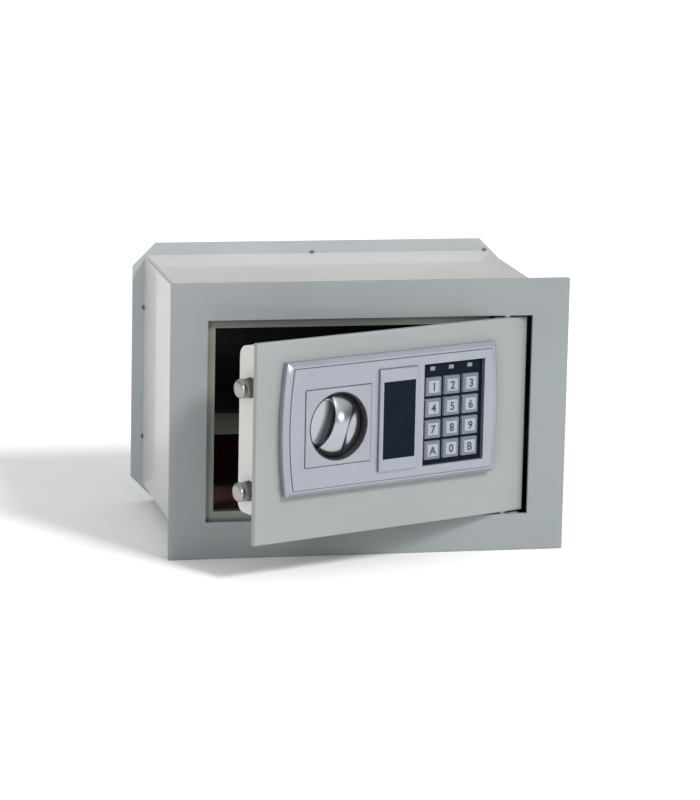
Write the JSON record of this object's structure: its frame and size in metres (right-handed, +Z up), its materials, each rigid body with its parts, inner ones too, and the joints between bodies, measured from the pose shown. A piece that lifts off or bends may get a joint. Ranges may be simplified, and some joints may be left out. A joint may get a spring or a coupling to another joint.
{
  "type": "electronic wall safe",
  "caption": "Electronic wall safe: flanged steel body built into a wall, hinged door with knob-thrown bolts, keypad and emergency key lock.",
  "frame": {"origin": "centre of the flange's back face, which lies on the wall's surface", "axes": "+Y into the wall, +Z up, +X to the right seen from the front"},
  "size_m": [0.34, 0.3185, 0.234],
  "materials": {
    "grey_enamel": "satin",
    "cream_enamel": "satin",
    "dark_enamel": "satin",
    "bare_steel": "brushed",
    "silver_plastic": "satin",
    "chrome": "polished",
    "black_plastic": "matt",
    "navy_plate": "gloss",
    "key_plastic": "satin",
    "lens": "gloss",
    "felt": "felt",
    "board_green": "satin",
    "rubber": "matt",
    "brass": "machined",
    "cell": "gloss"
  },
  "bodies": {
    "safe_body": {"front_flange": "grey_enamel", "door_stop_frame": "grey_enamel", "body_shell": "cream_enamel", "rear_plate": "grey_enamel", "seam_welds": "dark_enamel", "hinge_brackets": "cream_enamel", "shelf_rails": "dark_enamel", "floor_mat": "felt"},
    "shelf_board": {"shelf": "dark_enamel"},
    "door": {"door_plate": "grey_enamel", "hinge_blocks": "cream_enamel", "hinge_pins": "bare_steel", "door_pan": "cream_enamel", "pan_pillars": "bare_steel", "pan_screws": "bare_steel", "bolt_guide": "bare_steel", "lock_panel": "silver_plastic", "panel_screws": "bare_steel", "knob_well": "black_plastic", "spindle_bush": "brass", "keypad_plate": "navy_plate", "keypad_mat": "rubber", "keypad_board": "board_green", "keypad_ribbon": "key_plastic", "indicator_lenses": "lens", "lock_housing": "brass", "lock_nut": "bare_steel", "solenoid": "bare_steel", "plunger_spring": "bare_steel", "control_board": "board_green", "board_spacers": "black_plastic", "battery_box": "black_plastic", "batteries": "cell", "reset_switch": "black_plastic"},
    "bolt_work": {"locking_bolts": "bare_steel", "bolt_carriage": "bare_steel", "bolt_screws": "bare_steel"},
    "knob_and_crank": {"knob": "chrome", "spindle": "bare_steel", "crank": "bare_steel", "spindle_clip": "bare_steel"},
    "plunger": {"solenoid_plunger": "bare_steel"},
    "emergency_plug": {"lock_plug": "brass", "lock_arm": "bare_steel"},
    "lock_cover": {"centre_cover": "silver_plastic", "cover_window": "navy_plate"},
    "battery_lid": {"battery_cover": "black_plastic"},
    "code_button": {"reset_button": "lens"},
    "key_1_cap": {"key_1": "key_plastic"},
    "key_2_cap": {"key_2": "key_plastic"},
    "key_3_cap": {"key_3": "key_plastic"},
    "key_4_cap": {"key_4": "key_plastic"},
    "key_5_cap": {"key_5": "key_plastic"},
    "key_6_cap": {"key_6": "key_plastic"},
    "key_7_cap": {"key_7": "key_plastic"},
    "key_8_cap": {"key_8": "key_plastic"},
    "key_9_cap": {"key_9": "key_plastic"},
    "key_a_cap": {"key_a": "key_plastic"},
    "key_0_cap": {"key_0": "key_plastic"},
    "key_b_cap": {"key_b": "key_plastic"}
  },
  "joints": [
    {"name": "door_hinge", "type": "hinge", "parent": "safe_body", "child": "door", "pos_m": [0.118, 0.0033, 0], "axis": [0, 0, 1], "range_deg": [-22.24, 70]},
    {"name": "knob_turn", "type": "hinge", "parent": "door", "child": "knob_and_crank", "pos_m": [-0.04734, -0.07111, 0.011], "axis": [-0.3785, 0.9256, 0], "range_deg": [0, 60]},
    {"name": "bolt_slide", "type": "slide", "parent": "door", "child": "bolt_work", "axis": [0.9256, 0.3785, 0], "range_m": [0, 0.012]},
    {"name": "emergency_turn", "type": "hinge", "parent": "door", "child": "emergency_plug", "pos_m": [0.00538, -0.04415, -0.018], "axis": [-0.3785, 0.9256, 0], "range_deg": [0, 66]},
    {"name": "plunger_slide", "type": "slide", "parent": "door", "child": "plunger", "axis": [0, 0, 1], "range_m": [0, 0.005]},
    {"name": "cover_pull", "type": "slide", "parent": "door", "child": "lock_cover", "axis": [0.3785, -0.9256, 0], "range_m": [0, 0.02]},
    {"name": "battery_lid_slide", "type": "slide", "parent": "door", "child": "battery_lid", "axis": [0, 0, 1], "range_m": [0, 0.012]},
    {"name": "code_button_press", "type": "slide", "parent": "door", "child": "code_button", "axis": [0.3785, -0.9256, 0], "range_m": [0, 0.0015], "stiffness_N_per_m": 300},
    {"name": "shelf_slide", "type": "slide", "parent": "safe_body", "child": "shelf_board", "axis": [0, -1, 0], "range_m": [0, 0.06]},
    {"name": "key_1_press", "type": "slide", "parent": "door", "child": "key_1_cap", "axis": [-0.3785, 0.9256, 0], "range_m": [0, 0.0007], "stiffness_N_per_m": 400},
    {"name": "key_2_press", "type": "slide", "parent": "door", "child": "key_2_cap", "axis": [-0.3785, 0.9256, 0], "range_m": [0, 0.0007], "stiffness_N_per_m": 400},
    {"name": "key_3_press", "type": "slide", "parent": "door", "child": "key_3_cap", "axis": [-0.3785, 0.9256, 0], "range_m": [0, 0.0007], "stiffness_N_per_m": 400},
    {"name": "key_4_press", "type": "slide", "parent": "door", "child": "key_4_cap", "axis": [-0.3785, 0.9256, 0], "range_m": [0, 0.0007], "stiffness_N_per_m": 400},
    {"name": "key_5_press", "type": "slide", "parent": "door", "child": "key_5_cap", "axis": [-0.3785, 0.9256, 0], "range_m": [0, 0.0007], "stiffness_N_per_m": 400},
    {"name": "key_6_press", "type": "slide", "parent": "door", "child": "key_6_cap", "axis": [-0.3785, 0.9256, 0], "range_m": [0, 0.0007], "stiffness_N_per_m": 400},
    {"name": "key_7_press", "type": "slide", "parent": "door", "child": "key_7_cap", "axis": [-0.3785, 0.9256, 0], "range_m": [0, 0.0007], "stiffness_N_per_m": 400},
    {"name": "key_8_press", "type": "slide", "parent": "door", "child": "key_8_cap", "axis": [-0.3785, 0.9256, 0], "range_m": [0, 0.0007], "stiffness_N_per_m": 400},
    {"name": "key_9_press", "type": "slide", "parent": "door", "child": "key_9_cap", "axis": [-0.3785, 0.9256, 0], "range_m": [0, 0.0007], "stiffness_N_per_m": 400},
    {"name": "key_a_press", "type": "slide", "parent": "door", "child": "key_a_cap", "axis": [-0.3785, 0.9256, 0], "range_m": [0, 0.0007], "stiffness_N_per_m": 400},
    {"name": "key_0_press", "type": "slide", "parent": "door", "child": "key_0_cap", "axis": [-0.3785, 0.9256, 0], "range_m": [0, 0.0007], "stiffness_N_per_m": 400},
    {"name": "key_b_press", "type": "slide", "parent": "door", "child": "key_b_cap", "axis": [-0.3785, 0.9256, 0], "range_m": [0, 0.0007], "stiffness_N_per_m": 400}
  ],
  "couplings": [
    {"joint": "bolt_slide", "follows": "knob_turn", "m_per_rad": 0.011459},
    {"joint": "emergency_turn", "follows": "plunger_slide", "rad_per_m": 230.38}
  ]
}
